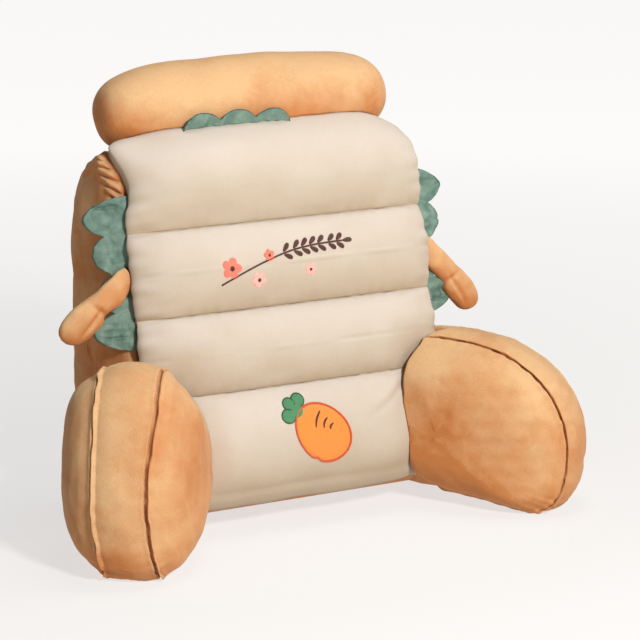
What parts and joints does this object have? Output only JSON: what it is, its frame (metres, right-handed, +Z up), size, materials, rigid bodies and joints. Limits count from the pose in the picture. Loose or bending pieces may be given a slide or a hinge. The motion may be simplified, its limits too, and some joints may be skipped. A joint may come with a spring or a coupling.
{
  "type": "reading pillow with arms",
  "caption": "Stuffed backrest that stands up by itself, with a channelled front, armrests, a head roll, scalloped leaf trim and small stuffed hands.",
  "frame": {"origin": "on the floor, on the wedge's flat base, midway between its sides", "axes": "+Z up; +X along the pillow's width; the sitter faces -Y, so the channelled front looks along -Y"},
  "size_m": [0.757, 0.4039, 0.6],
  "materials": {
    "tan_plush": "short tan plush with a soft sheen",
    "cream_plush": "short cream plush with a soft sheen",
    "leaf_cloth": "sage green double cloth with a darker stitched edge"
  },
  "bodies": {
    "root": {"back_body": "tan_plush", "front_pad": "cream_plush", "head_roll": "tan_plush", "armrest_left": "tan_plush", "armrest_right": "tan_plush", "leaf_strip_left": "leaf_cloth", "leaf_strip_right": "leaf_cloth", "leaf_strip_top": "leaf_cloth", "hand_left": "tan_plush", "hand_right": "tan_plush"}
  },
  "joints": []
}
